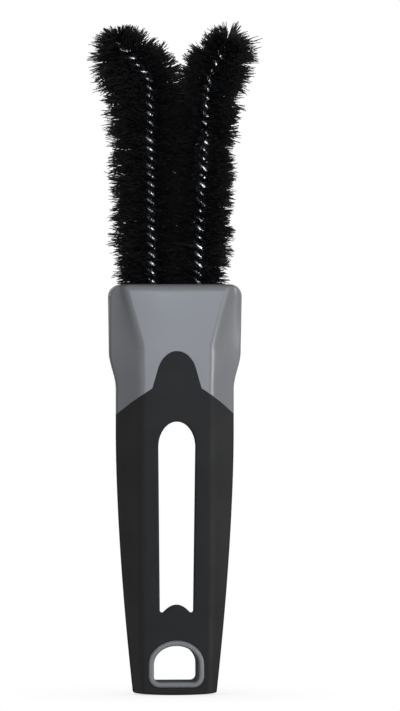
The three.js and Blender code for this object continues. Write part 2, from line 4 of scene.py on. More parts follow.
import bmesh
import bpy
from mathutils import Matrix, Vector


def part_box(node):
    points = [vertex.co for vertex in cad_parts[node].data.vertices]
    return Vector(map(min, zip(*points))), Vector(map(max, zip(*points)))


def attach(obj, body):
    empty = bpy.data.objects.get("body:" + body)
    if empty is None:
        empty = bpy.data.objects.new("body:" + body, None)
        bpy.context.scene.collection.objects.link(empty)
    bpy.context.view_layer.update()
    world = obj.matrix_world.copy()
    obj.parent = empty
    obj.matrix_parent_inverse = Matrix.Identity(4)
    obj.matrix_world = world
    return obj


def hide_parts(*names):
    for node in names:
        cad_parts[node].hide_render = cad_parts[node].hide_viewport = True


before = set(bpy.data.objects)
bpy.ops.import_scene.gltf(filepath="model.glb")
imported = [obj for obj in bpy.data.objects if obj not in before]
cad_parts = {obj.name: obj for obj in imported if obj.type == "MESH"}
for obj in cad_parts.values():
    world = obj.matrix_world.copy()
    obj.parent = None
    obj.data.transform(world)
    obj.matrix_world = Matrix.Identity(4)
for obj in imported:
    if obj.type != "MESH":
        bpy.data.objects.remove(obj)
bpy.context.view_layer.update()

bl_info = {
    "name": "Wheel Rim Brush",
    "version": (1, 0, 0),
    "blender": (4, 5, 0),
    "location": "View3D > Sidebar > Rim Brush",
    "description": "Dresses a wheel rim brush: grey core, rubber grip, twisted wires and bristles",
    "category": "Object",
}

CORE_LOW, CORE_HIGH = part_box("handle_core")
GRIP_LOW, GRIP_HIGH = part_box("grip_overmould")
MM = 0.001
BACK = Vector((0.0, 1.0, 0.0))

# Heights on the handle, from the butt end up
HEAD_TOP = CORE_HIGH.z
TONGUE_TOP = GRIP_HIGH.z
TONGUE_FOOT = 118.2 * MM
SHOULDER_FOOT = 108.4 * MM
FLARE_FOOT = 134.4 * MM
TAPER_TOP = 100.0 * MM
SLOT_FOOT = 32.0 * MM
SLOT_TOP = 105.5 * MM
HOLE_FOOT = 5.1 * MM
HOLE_TOP = 19.0 * MM

# Powers that curve the taper's outline and scoop the flanks
TAPER_SWEEP = 1.66
GRIP_COVE = 1.1
HEAD_COVE = 3.0

# Tongue of the rubber, whose rounded tip ends at an angle given in quarter turns
TONGUE_WIDTH = 18.8 * MM
TONGUE_TIP_WIDTH = 15.5 * MM
TONGUE_TIP = 10.4 * MM
TONGUE_TIP_END = 0.2

# Shoulders of the rubber: how much their slope bulges, and its length as a share of the way to the side
SHOULDER_BOW = 0.18
SHOULDER_REACH = 1.25

# How far the butt's corners lie above its middle
BUTT_BOW = 0.75 * MM

# Pocket in the head: wall in front of the stem holder, gaps beside and below it, corners and lead-in
HEAD_WALL = 6.2 * MM
POCKET_GAP = 0.2 * MM
POCKET_FLOOR_GAP = 0.3 * MM
POCKET_CORNER = 3.0 * MM
POCKET_LEAD = 0.8 * MM

# Steps along curved stretches
EDGE_STEPS = 6
FLANK_STEPS = 8
ARCH_STEPS = 40
CORNER_STEPS = 10
RIM_STEPS = 6

# Steps from section to section along the handle's form
TAPER_STEPS = 22
WAIST_STEPS = 4
NECK_STEPS = 12
HEAD_STEPS = 4

# How far a cutter reaches past what it cuts, and how far a rolled rim starts above the face it opens
OVERSHOOT = 6.0 * MM
RIM_LIFT = 0.01 * MM

# Depth of the open line along a seam, and how far rubber and plastic bite into each other halfway through
SEAM_DEPTH = 3.0 * MM
SEAM_BITE = 0.05 * MM

# Edges that turn by more than this stay crisp, and how strongly large faces lead the shading
CRISP_EDGE = math.radians(50)
FACE_WEIGHT = 80

# Faces of the ring that turn less than this to the front or the back are walls of the hang hole
WALL_SLOPE = 0.2

# Stems: spacing at the head, length inside the holder and radius of the bend where they start to lean
STEM_SPACING = 17.3 * MM
STEM_DEPTH = 10.7 * MM
EXIT_BEND = 70.0 * MM

# Steps along one turn of a wire and round its fold, and how finely the round sections are cut
TURN_STEPS = 28
FOLD_STEPS = 10
WIRE_ROUNDNESS = 3
FILAMENT_ROUNDNESS = 0

# Tufts of filaments: count, scatter round the tuft's middle and how far the tips cling together
TUFT_SIZE = 8
TUFT_WIDTH = 0.4 * MM
TUFT_TURN = math.radians(5)
TUFT_LEAN = math.radians(2.6)
TUFT_CLING = 0.9

# Scatter of lengths from fan to fan, from tuft to tuft and in a tuft, as shares of the reach
FAN_LENGTHS = (0.91, 1.05)
TUFT_LENGTHS = (0.76, 1.08)
STRAND_LENGTHS = (0.92, 1.0)

# One filament: places of its points, thickness at each, and its bow along the stem and to the side
STRAND_STEPS = (0.03, 0.4, 0.72, 1.0)
STRAND_TAPER = (0.9, 1.05, 1.1, 0.65)
ALONG_BOW = 0.04
SIDE_BOW = 0.05

# Scatter of the lean at the front and the back, and at the foot and the tip, as shares of that at the
# shaft's sides, and the stretch below the bend over which it grows
FRONT_LEAN = 0.4
LOOSE_LEAN = 1.6
LOOSE_LENGTH = 6.0 * MM

# Thinning in front of the wire and behind it, which lets the wire show. The first and third give how far a
# tuft has to point sideways to stay thin and to be full, and the last where the bent tip is full again
SHAFT_FRONT = (0.1, 0.4)
SHAFT_THINNING = 0.85
BEND_FRONT = (0.25, 0.9)
COVERED_TIP = (0.5, 0.8)

# Lower end of the bristles: start, height of the trimmed foot, share of the reach and gap above the head
BRISTLE_START = 0.2 * MM
FOOT_LENGTH = 4.0 * MM
SHAFT_TRIM = 0.86
HEAD_CLEARANCE = 0.25 * MM

# Splay over the end of the wire: angles on the inner and the outer side, reach and stretch of the wire
INNER_SPLAY = math.radians(58)
OUTER_SPLAY = math.radians(105)
SPLAY_REACH = 8.8 * MM
SPLAY_LENGTH = 8.0 * MM

# Sweep of the tip's outer bristles towards the end of the wire
OUTER_SWEEP = math.radians(22)

# Seeds of the scatter
SHAFT_SEED = 3
TIP_SEED = 2

# Gloss left on a moulded face that is seen edge-on, and how far it faces away where the fade starts and stops
EDGE_GLOSS = 0.001
PLASTIC_FADE = (0.10, 0.35)
RUBBER_FADE = (0.30, 0.70)

# Range that holds most of a noise, and depth of the moulded grain
NOISE_RANGE = (0.3, 0.7)
GRAIN_DEPTH = 0.1 * MM

# Camera, level and slightly to the left of the brush, with its sensor's width in millimetres
CAMERA_AZIMUTH = math.radians(-4.6)
CAMERA_DISTANCE = 2.14
FRAME_HEIGHT = 275.2 * MM
AIM_HEIGHT = 131.0 * MM
AIM_SHIFT = 9.8 * MM
SENSOR = 36.0
VIEW_DEPTH = 20.0

# Floor with its contact shadow, and the room's light
FLOOR_SIZE = 6.0
FLOOR_TINT = (0.8, 0.8, 0.8)
CONTACT_REACH = 60.0 * MM
CONTACT_SHADE = (0.72, 0.72, 0.73)
ROOM_LIGHT = 0.23
WHITE = (1.0, 1.0, 1.0)
COOL_WHITE = (0.86, 0.96, 1.12)

# Softboxes: name, place, height aimed at, size, power, spread of the beam and colour
LIGHTS = (
    ("key_light", (0.12, -1.15, 0.05), 0.17, 0.5, 0.55, math.radians(50), COOL_WHITE),
    ("edge_light", (0.90, -0.62, 0.05), 0.14, 0.25, 3.0, math.radians(120), WHITE),
    ("right_light", (1.16, -0.31, 0.12), 0.12, 1.2, 0.9, math.radians(180), WHITE),
    ("left_light", (-1.0, -0.6, 0.12), 0.12, 0.8, 0.8, math.radians(180), WHITE),
    ("back_light", (0.3, 1.4, 0.15), 0.13, 0.9, 5.0, math.radians(180), WHITE),
)


# Sizes and colours that a user may change


def length(name, description, default):
    return bpy.props.FloatProperty(name=name, description=description, default=default, subtype="DISTANCE")


def angle(name, description, default):
    return bpy.props.FloatProperty(name=name, description=description, default=default, subtype="ANGLE")


def factor(name, description, default):
    return bpy.props.FloatProperty(name=name, description=description, default=default, subtype="FACTOR")


def whole(name, description, default):
    return bpy.props.IntProperty(name=name, description=description, default=default)


def colour(name, description, default):
    return bpy.props.FloatVectorProperty(
        name=name, description=description, default=default, subtype="COLOR", size=3, min=0.0, max=1.0
    )


class HandleSizes(bpy.types.PropertyGroup):
    """Sizes of the moulded handle."""

    head_width: length("Head width", "Width of the grey head", CORE_HIGH.x - CORE_LOW.x)
    grip_width: length("Grip width", "Width of the rubber grip", GRIP_HIGH.x - GRIP_LOW.x)
    butt_width: length("Butt width", "Width of the handle's lower end", 32.0 * MM)
    head_depth: length("Head depth", "Depth of the handle at the head's top", 26.4 * MM)
    butt_depth: length("Butt depth", "Depth of the handle at its lower end", 17.6 * MM)
    facet_width: length("Facet width", "Flat band along the front and the back", 27.4 * MM)
    head_facet_width: length("Head facet width", "The same band at the top of the head", 41.4 * MM)
    side_wall: length("Side wall", "Upright side wall along the grip", 7.6 * MM)
    head_side_wall: length("Head side wall", "Upright side wall at the top of the head", 19.0 * MM)
    ridge_round: length("Ridge rounding", "Rounding between the facet and the flanks", 1.7 * MM)
    side_round: length("Side rounding", "Rounding between the flanks and the side walls", 0.9 * MM)
    head_corner: length("Head corner", "Corner radius of the head, seen from the front", 4.8 * MM)
    head_edge: length("Head edge", "Rounding of the head's top edge", 2.8 * MM)
    butt_edge: length("Butt edge", "Rounding of the butt's edge", 1.3 * MM)
    seam: length("Seam", "Open line between the rubber and the plastic", 0.12 * MM)


class OpeningSizes(bpy.types.PropertyGroup):
    """Sizes of the slot and of the hang hole."""

    slot_width: length("Slot width", "Width of the slot at its arched top", 14.2 * MM)
    slot_foot_width: length("Slot foot width", "Width of the slot at its foot", 12.8 * MM)
    slot_arch: length("Slot arch", "Height of the slot's rounded top", 9.7 * MM)
    slot_draft: length("Slot draft", "How far each wall of the slot opens towards the back", 2.2 * MM)
    slot_hump: length("Slot hump", "Height of the hump in the slot's foot", 3.0 * MM)
    slot_corner: length("Slot corner", "Radius of the slot's lower corners", 0.8 * MM)
    slot_rim: length("Slot rim", "Rounding of the slot's rim", 0.9 * MM)
    hole_width: length("Hole width", "Width of the hang hole", 17.3 * MM)
    hole_arch: length("Hole arch", "Height of the hang hole's rounded top", 7.2 * MM)
    hole_corner: length("Hole corner", "Radius of the hang hole's lower corners", 2.1 * MM)
    ring_wall: length("Ring wall", "Thickness of the ring round the hang hole", 2.2 * MM)
    ring_proud: length("Ring height", "How far the ring stands out of the rubber", 0.4 * MM)
    ring_round: length("Ring rounding", "Rounding of the ring's edges", 0.9 * MM)


class StemSizes(bpy.types.PropertyGroup):
    """Course of one stem and length of its bristles."""

    side: whole("Side", "-1 for the left stem, 1 for the right one", 1)
    lean: angle("Lean", "Angle of the shaft away from the middle", 0.0)
    tip_angle: angle("Tip angle", "Angle of the bent tip away from the middle", 0.6)
    shaft: length("Shaft", "Length of the straight shaft", 73.0 * MM)
    bend: length("Bend radius", "Radius of the bend below the tip", 12.0 * MM)
    tip: length("Tip", "Length of the straight tip", 14.0 * MM)
    outer_reach: length("Outer reach", "Bristle length away from the other brush", 15.0 * MM)
    inner_reach: length("Inner reach", "Bristle length towards the other brush", 12.0 * MM)
    tip_outer_reach: length("Outer tip reach", "Outer bristle length at the end of the wire", 13.0 * MM)
    tip_inner_reach: length("Inner tip reach", "Inner bristle length at the end of the wire", 9.0 * MM)
    swell: factor("Swell", "Share by which the outer bristles are longer in the bend", 0.1)
    foot_trim: factor("Foot trim", "Share cut off the outer bristles at the foot", 0.2)


class FilamentSizes(bpy.types.PropertyGroup):
    """Wire and bristle filaments of both brushes."""

    wire: length("Wire", "Diameter of the steel wire", 1.8 * MM)
    wire_offset: length("Wire offset", "Distance of a wire leg from the stem's axis", 0.94 * MM)
    turn: length("Turn", "Length of one full turn of the twist", 6.8 * MM)
    thickness: length("Filament", "Diameter of a bristle filament", 0.32 * MM)
    shaft_count: whole("Shaft tufts", "Tufts of bristles on one straight shaft", 1010)
    tip_count: whole("Tip tufts", "Tufts of bristles on one bent tip", 400)
    fan_spread: angle("Fan spread", "Scatter of the filaments round the stem", 0.24)
    lean_spread: angle("Lean spread", "Scatter of the filaments along the stem", 0.17)


class Finishes(bpy.types.PropertyGroup):
    """Colours of the materials."""

    grey: colour("Grey plastic", "Moulded plastic of the head and the ring", (0.224, 0.226, 0.231))
    rubber: colour("Black rubber", "Soft rubber of the grip", (0.0110, 0.0110, 0.0114))
    holder: colour("Holder plastic", "Insert that holds the stems", (0.110, 0.115, 0.125))
    steel: colour("Steel", "Twisted wire", (0.820, 0.825, 0.835))
    nylon: colour("Nylon", "Bristle filaments", (0.0080, 0.0080, 0.0086))


class RimBrushSettings(bpy.types.PropertyGroup):
    """Everything that a user may change."""

    handle: bpy.props.PointerProperty(type=HandleSizes)
    openings: bpy.props.PointerProperty(type=OpeningSizes)
    left: bpy.props.PointerProperty(type=StemSizes)
    right: bpy.props.PointerProperty(type=StemSizes)
    filaments: bpy.props.PointerProperty(type=FilamentSizes)
    finishes: bpy.props.PointerProperty(type=Finishes)


# Curves


def lerp(low, high, share):
    return low + (high - low) * share


def evenly(low, high, count):
    """Values from low to high in equal steps, both ends included."""
    return [lerp(low, high, i / count) for i in range(count + 1)]


def share_of(value, low, high):
    """0 below low, 1 above high and an even slope between."""
    return min(1.0, max(0.0, (value - low) / (high - low)))


def smooth_share(value, low, high):
    """0 below low, 1 above high and an easy slope between."""
    share = share_of(value, low, high)
    return share * share * (3.0 - 2.0 * share)


def arc(x, z, radius_x, radius_z, start, end, steps):
    """Points of an elliptical arc in X and Z, with the angles in quarter turns."""
    turns = [quarter * math.pi / 2 for quarter in evenly(start, end, steps)]
    return [(x + radius_x * math.cos(turn), z + radius_z * math.sin(turn)) for turn in turns]


def eased_corner(start, corner, end, steps):
    """Points from start to end that round off the corner between them."""
    points = []
    for share in evenly(0.0, 1.0, steps):
        towards = [lerp(a, b, share) for a, b in zip(start, corner)]
        away = [lerp(b, c, share) for b, c in zip(corner, end)]
        points.append(tuple(lerp(a, c, share) for a, c in zip(towards, away)))
    return points


# Meshes


def loft(rings):
    """A closed skin through rings of points: a capped circle, extruded from ring to ring."""
    skin = bmesh.new()
    bmesh.ops.create_circle(skin, cap_ends=True, segments=len(rings[0]), radius=1.0)
    face = skin.faces[:][0]
    for vert, point in zip(face.verts, rings[0]):
        vert.co = point
    for ring in rings[1:]:
        face = bmesh.ops.extrude_discrete_faces(skin, faces=[face])["faces"][0]
        for vert, point in zip(face.verts, ring):
            vert.co = point
    bmesh.ops.holes_fill(skin, edges=skin.edges[:], sides=0)
    bmesh.ops.recalc_face_normals(skin, faces=skin.faces[:])
    return skin


def add_object(name, data):
    made = bpy.data.objects.new(name, data)
    bpy.context.scene.collection.objects.link(made)
    return made


def add_skin(name, skin, *materials):
    mesh = bpy.data.meshes.new(name)
    skin.to_mesh(mesh)
    skin.free()
    for material in materials:
        mesh.materials.append(material)
    return add_object(name, mesh)


def finished_mesh(piece):
    """The mesh that a piece's modifiers, or its curve's section, make of it."""
    graph = bpy.context.evaluated_depsgraph_get()
    return bpy.data.meshes.new_from_object(piece.evaluated_get(graph))


def combine(piece, skin, operation):
    """Cut a piece with a skin, join them or keep what they share."""
    tool = add_skin("tool", skin)
    boolean = piece.modifiers.new("Boolean", "BOOLEAN")
    boolean.operation = operation
    boolean.solver = "EXACT"
    boolean.object = tool
    mesh = finished_mesh(piece)
    piece.modifiers.clear()
    piece.data = mesh
    bpy.data.objects.remove(tool)


def smooth_faces(piece):
    """Smooth shading that keeps real edges crisp and flat faces flat."""
    piece.data.shade_smooth()
    piece.data.set_sharp_from_angle(angle=CRISP_EDGE)
    weighted = piece.modifiers.new("Weighted Normal", "WEIGHTED_NORMAL")
    weighted.keep_sharp = True
    weighted.weight = FACE_WEIGHT


def stand_for(piece, slot, *nodes):
    """Let a piece ride on the body in place of CAD nodes."""
    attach(piece, "root")
    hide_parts(*nodes)


# Handle form


def half_width(sizes, z):
    """Half the handle's width: tapered below, even along the grip and wider at the head."""
    if z < TAPER_TOP:
        drop = (1.0 - z / TAPER_TOP) ** TAPER_SWEEP
        return lerp(sizes.grip_width, sizes.butt_width, drop) / 2
    return lerp(sizes.grip_width, sizes.head_width, smooth_share(z, TONGUE_FOOT, TONGUE_TOP)) / 2


def half_depth(sizes, z):
    return lerp(sizes.butt_depth, sizes.head_depth, z / HEAD_TOP) / 2


def corner_drop(radius, height):
    """How far a rounded edge has drawn in at a height above its foot."""
    return radius - math.sqrt(max(0.0, radius**2 - max(0.0, height) ** 2))


def section(sizes, z, inset, depth_inset):
    """The handle's outline at a height: flat facets, scooped flanks and upright side walls."""
    half = half_width(sizes, z) - corner_drop(sizes.head_corner, z - HEAD_TOP + sizes.head_corner) - inset
    depth = half_depth(sizes, z) - depth_inset
    flare = share_of(z, FLARE_FOOT, HEAD_TOP)
    side = min(lerp(sizes.side_wall, sizes.head_side_wall, flare) / 2, depth - sizes.ridge_round)
    widest = half - sizes.ridge_round - sizes.side_round
    facet = min(lerp(sizes.facet_width, sizes.head_facet_width, flare) / 2, widest)
    run = half - facet
    cove = lerp(GRIP_COVE, HEAD_COVE, flare)

    def flank(share):
        return (facet + run * share, lerp(side, depth, (1.0 - share) ** cove))

    ridge_end = sizes.ridge_round / run
    side_start = 1.0 - sizes.side_round / run
    quarter = eased_corner((facet - sizes.ridge_round, depth), (facet, depth), flank(ridge_end), EDGE_STEPS)
    quarter += [flank(share) for share in evenly(ridge_end, side_start, FLANK_STEPS)[1:-1]]
    wall = (half, max(0.0, side - sizes.side_round))
    quarter += eased_corner(flank(side_start), (half, side), wall, EDGE_STEPS)
    signs = [(1, -1, 1), (1, 1, -1), (-1, 1, 1), (-1, -1, -1)]
    return [Vector((sx * x, sy * y, z)) for sx, sy, way in signs for x, y in quarter[::way]]


def handle_form(sizes):
    """The handle's outer form, with both colours in one skin."""
    rings = []
    for turn in evenly(0.0, math.pi / 2, EDGE_STEPS):
        inset = sizes.butt_edge * (1.0 - math.sin(turn))
        rings.append(section(sizes, sizes.butt_edge * (1.0 - math.cos(turn)), inset, inset))
    heights = evenly(sizes.butt_edge, TAPER_TOP, TAPER_STEPS)[1:]
    heights += evenly(TAPER_TOP, TONGUE_FOOT, WAIST_STEPS)[1:]
    heights += evenly(TONGUE_FOOT, TONGUE_TOP, NECK_STEPS)[1:]
    heights += evenly(FLARE_FOOT, HEAD_TOP - sizes.head_corner, HEAD_STEPS)
    rings += [section(sizes, z, 0.0, 0.0) for z in heights]
    for turn in evenly(0.0, math.pi / 2, CORNER_STEPS)[1:]:
        z = HEAD_TOP - sizes.head_corner * (1.0 - math.sin(turn))
        rings.append(section(sizes, z, 0.0, corner_drop(sizes.head_edge, z - HEAD_TOP + sizes.head_edge)))
    return loft(rings)


# Cutters


def slot_outline(settings, grow):
    """The slot, grown on all sides: arched top, sides that draw in, and a humped foot."""
    sizes = settings.openings
    corner = sizes.slot_corner + grow
    inner = sizes.slot_foot_width / 2 - sizes.slot_corner
    foot = SLOT_FOOT - grow
    half = sizes.slot_width / 2 + grow
    ear = arc(inner, foot + corner, corner, corner, -1.5, 0, CORNER_STEPS)
    ear_x, ear_z = ear[0]
    crown = SLOT_FOOT + sizes.slot_hump - grow
    hump = [(x, lerp(crown, ear_z, (x / ear_x) ** 2)) for x in evenly(-ear_x, ear_x, ARCH_STEPS)[1:-1]]
    arch = arc(0.0, SLOT_TOP - sizes.slot_arch, half, sizes.slot_arch + grow, 0, 2, ARCH_STEPS)
    return hump + ear + arch + [(-x, z) for x, z in reversed(ear)]


def hole_outline(settings, grow):
    """The hang hole, grown on all sides: a D with its flat bar towards the butt."""
    sizes = settings.openings
    half = sizes.hole_width / 2 + grow
    corner = sizes.hole_corner + grow
    foot = HOLE_FOOT - grow
    return (
        arc(half - corner, foot + corner, corner, corner, -1, 0, CORNER_STEPS)
        + arc(0.0, HOLE_TOP - sizes.hole_arch, half, sizes.hole_arch + grow, 0, 2, ARCH_STEPS)
        + arc(corner - half, foot + corner, corner, corner, 2, 3, CORNER_STEPS)
    )


def grip_outline(settings, grow):
    """Everything below the grip's upper edge: rounded tongue, flared sides and sloping shoulders."""
    half_tip = TONGUE_TIP_WIDTH / 2 + grow
    half_foot = TONGUE_WIDTH / 2 + grow
    tip_foot = TONGUE_TOP - TONGUE_TIP
    tip = arc(0.0, tip_foot, half_tip, TONGUE_TIP + grow, 1, TONGUE_TIP_END, ARCH_STEPS // 2)
    run = settings.handle.grip_width / 2 - half_foot
    shoulder = []
    for share in evenly(0.0, SHOULDER_REACH, CORNER_STEPS):
        drop = (TONGUE_FOOT - SHOULDER_FOOT) * share * lerp(1.0 - SHOULDER_BOW, 1.0, share)
        shoulder.append((half_foot + run * share, TONGUE_FOOT + grow - drop))
    right = tip + shoulder + [(shoulder[-1][0], -OVERSHOOT)]
    return right + [(-x, z) for x, z in reversed(right[1:])]


def butt_outline(settings, grow):
    """Everything below the bowed butt."""
    width = settings.handle.butt_width
    half = width / 2 + grow
    bow = [(x, BUTT_BOW * (2.0 * x / width) ** 2) for x in evenly(half, -half, ARCH_STEPS)]
    return [(-half, -OVERSHOOT), (half, -OVERSHOOT)] + bow


def through(settings, outline, levels):
    """A skin from the front facet to the back one.

    A level is a side, -1 for the front and 1 for the back, a height over its facet and the outline's growth.
    """
    rings = []
    for facing, proud, grow in levels:
        points = outline(settings, grow)
        rings.append([Vector((x, facing * (half_depth(settings.handle, z) + proud), z)) for x, z in points])
    return loft(rings)


def straight_levels(grow):
    """Levels of a cutter with straight walls."""
    return [(-1, OVERSHOOT, grow), (1, OVERSHOOT, grow)]


def opening_levels(proud, rim, draft):
    """Levels of a cutter whose rim is rolled outwards on both faces."""
    turns = evenly(0.0, math.pi / 2, RIM_STEPS)
    edge = proud + RIM_LIFT
    roll = [(edge - rim * (1.0 - math.cos(turn)), rim * (1.0 - math.sin(turn))) for turn in turns]
    front = [(-1, proud + OVERSHOOT, rim)] + [(-1, height, grow) for height, grow in roll]
    back = [(1, height, grow + draft) for height, grow in reversed(roll)]
    return front + back + [(1, proud + OVERSHOOT, rim + draft)]


def bead_levels(proud, rounding, grow):
    """Levels of a solid whose outer edges are rounded on both faces."""
    turns = evenly(0.0, math.pi / 2, RIM_STEPS)
    roll = [(proud - rounding * (1.0 - math.sin(t)), grow - rounding * (1.0 - math.cos(t))) for t in turns]
    front = [(-1, height, size) for height, size in reversed(roll)]
    return front + [(1, height, size) for height, size in roll]


def seam_levels(grow, gap):
    """Levels of a cutter that leaves an open line along a seam on both faces, and none halfway through."""
    line = grow + gap
    front = [(-1, OVERSHOOT, line), (-1, -SEAM_DEPTH, line)]
    back = [(1, -SEAM_DEPTH, line), (1, OVERSHOOT, line)]
    return front + [(0, 0.0, grow - SEAM_BITE)] + back


def pocket(sizes):
    """The pocket in the head's top, with a small lead-in at its mouth."""
    low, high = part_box("stem_holder")
    x = high.x + POCKET_GAP - POCKET_CORNER
    y = sizes.head_depth / 2 - HEAD_WALL + POCKET_GAP - POCKET_CORNER
    walls = [(low.z - POCKET_FLOOR_GAP, 0.0), (HEAD_TOP - POCKET_LEAD, 0.0)]
    mouth = [(HEAD_TOP, POCKET_LEAD), (HEAD_TOP + OVERSHOOT, POCKET_LEAD)]
    rings = []
    for z, grow in walls + mouth:
        radius = POCKET_CORNER + grow
        points = []
        for quarter, (sx, sy) in enumerate([(1, 1), (-1, 1), (-1, -1), (1, -1)]):
            points += arc(sx * x, sy * y, radius, radius, quarter, quarter + 1, CORNER_STEPS)
        rings.append([Vector((px, py, z)) for px, py in points])
    return loft(rings)


# Stems


class StemRoute:
    """A stem's course in the XZ plane: straight runs and arcs, measured by length from the head's top."""

    def __init__(self, stem):
        self.side = stem.side
        self.pieces = []
        self.length = 0.0
        self.end = (STEM_SPACING / 2, HEAD_TOP, 0.0)
        self.bend_over(EXIT_BEND, stem.lean)
        self.add(stem.shaft, 0.0)
        self.bend_start = self.length
        self.bend_over(stem.bend, stem.tip_angle)
        self.add(stem.tip, 0.0)

    def add(self, run, curve):
        self.pieces.append((self.length, *self.end, curve))
        self.length += run
        self.end = self.state(self.length)

    def bend_over(self, radius, heading):
        self.add(radius * (heading - self.end[2]), 1.0 / radius)

    def state(self, s):
        """Distance from the middle, height and heading at a length along the course."""
        reached = [piece for piece in self.pieces if piece[0] <= s or piece is self.pieces[0]]
        start, x, z, heading, curve = reached[-1]
        run = s - start
        turned = heading + run * curve
        if curve == 0.0:
            return x + run * math.sin(heading), z + run * math.cos(heading), heading
        across = (math.cos(heading) - math.cos(turned)) / curve
        return x + across, z + (math.sin(turned) - math.sin(heading)) / curve, turned

    def bent(self, s):
        """How far a place lies from the start of the bend, 0, to the end of the wire, 1."""
        return share_of(s, self.bend_start, self.length)

    def near_bend(self, s):
        """0 along the shaft and 1 in the bend and beyond it."""
        return smooth_share(s, self.bend_start - LOOSE_LENGTH, self.bend_start)

    def frame(self, s):
        """The axis point, the stem's direction and the direction across it."""
        x, z, heading = self.state(s)
        sine, cosine = self.side * math.sin(heading), math.cos(heading)
        return Vector((self.side * x, 0.0, z)), Vector((sine, 0.0, cosine)), Vector((cosine, 0.0, -sine))


def twist(filaments, s):
    """Angle of the first wire leg round the stem: a left-hand twist that starts inside the holder."""
    return -2.0 * math.pi * (s + STEM_DEPTH) / filaments.turn


def round_stem(across, turn):
    """A direction square to the stem."""
    return across * math.cos(turn) + BACK * math.sin(turn)


def round_curve(name, thickness, roundness):
    """An empty curve with a closed round section."""
    curve = bpy.data.curves.new(name, "CURVE")
    curve.dimensions = "3D"
    curve.bevel_depth = thickness / 2
    curve.bevel_resolution = roundness
    curve.use_fill_caps = True
    return curve


def add_line(curve, points, radii):
    line = curve.splines.new("POLY")
    line.points.add(len(points) - 1)
    for target, point, radius in zip(line.points, points, radii):
        target.co = (*point, 1.0)
        target.radius = radius


def as_mesh(name, curve, material):
    """A mesh piece from a curve with a round section."""
    drawn = add_object(name, curve)
    mesh = finished_mesh(drawn)
    bpy.data.objects.remove(drawn)
    mesh.shade_smooth()
    mesh.materials.append(material)
    return add_object(name, mesh)


def hairpin(filaments, route):
    """The middle line of one wire: up one side of the twist, round the fold at the tip and back down."""
    offset = filaments.wire_offset
    count = round((route.length + STEM_DEPTH) / filaments.turn * TURN_STEPS)
    legs = []
    for phase in (0.0, math.pi):
        leg = []
        for s in evenly(-STEM_DEPTH, route.length, count):
            point, _, across = route.frame(s)
            leg.append(point + round_stem(across, twist(filaments, s) + phase) * offset)
        legs.append(leg)
    point, along, across = route.frame(route.length)
    out = round_stem(across, twist(filaments, route.length))
    fold = []
    for turn in evenly(0.0, math.pi, FOLD_STEPS)[1:-1]:
        fold.append(point + (out * math.cos(turn) + along * math.sin(turn)) * offset)
    return legs[0] + fold + legs[1][::-1]


# Bristles


def side_reach(stem, route, s, outward):
    """Bristle length at a place on the stem, for a direction from inward, -1, to outward, 1."""
    climbed = min(1.0, s / route.bend_start)
    bent = route.bent(s)
    shaft = lerp(stem.inner_reach, stem.outer_reach, (1.0 + outward) / 2)
    tip = lerp(stem.tip_inner_reach, stem.tip_outer_reach, (1.0 + outward) / 2)
    foot = 1.0 - stem.foot_trim * max(0.0, outward) * math.exp(-s / FOOT_LENGTH)
    swell = 1.0 + stem.swell * max(0.0, outward) * math.sin(math.pi * math.sqrt(bent))
    return lerp(shaft * lerp(SHAFT_TRIM, 1.0, climbed**2) * foot, tip, bent) * swell


def looseness(route, s):
    """How much more freely the filaments lean at the foot and at the bent tip than along the shaft."""
    foot = 1.0 - smooth_share(s, 0.0, FOOT_LENGTH)
    return lerp(1.0, LOOSE_LEAN, max(foot, route.near_bend(s)))


def fullness(route, s, sideways):
    """Share of a tuft's filaments that is left, as those in front of the wire and behind it let it show."""
    shaft = lerp(1.0, smooth_share(sideways, *SHAFT_FRONT), SHAFT_THINNING)
    bend = smooth_share(sideways, *BEND_FRONT)
    thinned = lerp(shaft, bend, route.near_bend(s))
    return lerp(thinned, 1.0, smooth_share(route.bent(s), *COVERED_TIP))


def tuft(rng, filaments, stem, route, start, end, turn, fan_length):
    """Filaments that leave the gap between the wire legs side by side and cling together at their tips."""
    middle = rng.uniform(start, end)
    turned = turn + rng.gauss(0.0, filaments.fan_spread)
    sideways = abs(math.sin(twist(filaments, middle) + turned))
    leant = rng.gauss(0.0, filaments.lean_spread * lerp(FRONT_LEAN, looseness(route, middle), sideways))
    tuft_length = fan_length * rng.uniform(*TUFT_LENGTHS)
    opened = math.sqrt(rng.random()) * sideways
    strands = []
    for _ in range(TUFT_SIZE):
        s = middle + rng.gauss(0.0, TUFT_WIDTH)
        point, along, across = route.frame(min(s, route.length))
        out = round_stem(across, twist(filaments, s) + math.pi / 2 + turned + rng.gauss(0.0, TUFT_TURN))
        outward = stem.side * out.dot(across)
        splay = max(0.0, 1.0 - (route.length - s) / SPLAY_LENGTH) * opened
        splayed = lerp(INNER_SPLAY, OUTER_SPLAY, (1.0 + outward) / 2) * splay
        sweep = OUTER_SWEEP * max(0.0, outward) * route.bent(s) * (1.0 - splay)
        lean = splayed + sweep + leant + rng.gauss(0.0, TUFT_LEAN)
        reach = lerp(side_reach(stem, route, s, outward), SPLAY_REACH, min(1.0, 2.0 * splay))
        reach *= tuft_length * rng.uniform(*STRAND_LENGTHS)
        heading = out * math.cos(lean) + along * math.sin(lean)
        cling = along * (middle - s) * TUFT_CLING
        bow = along * rng.gauss(0.0, ALONG_BOW) + out.cross(along) * rng.gauss(0.0, SIDE_BOW)
        strand = []
        for share in STRAND_STEPS:
            place = point + heading * (reach * share) + (bow * reach + cling) * share**2
            place.z = max(place.z, HEAD_TOP + HEAD_CLEARANCE)
            strand.append(place)
        strands.append(strand)
    dropped = math.floor(TUFT_SIZE * (1.0 - fullness(route, middle, sideways)))
    return strands[dropped:]


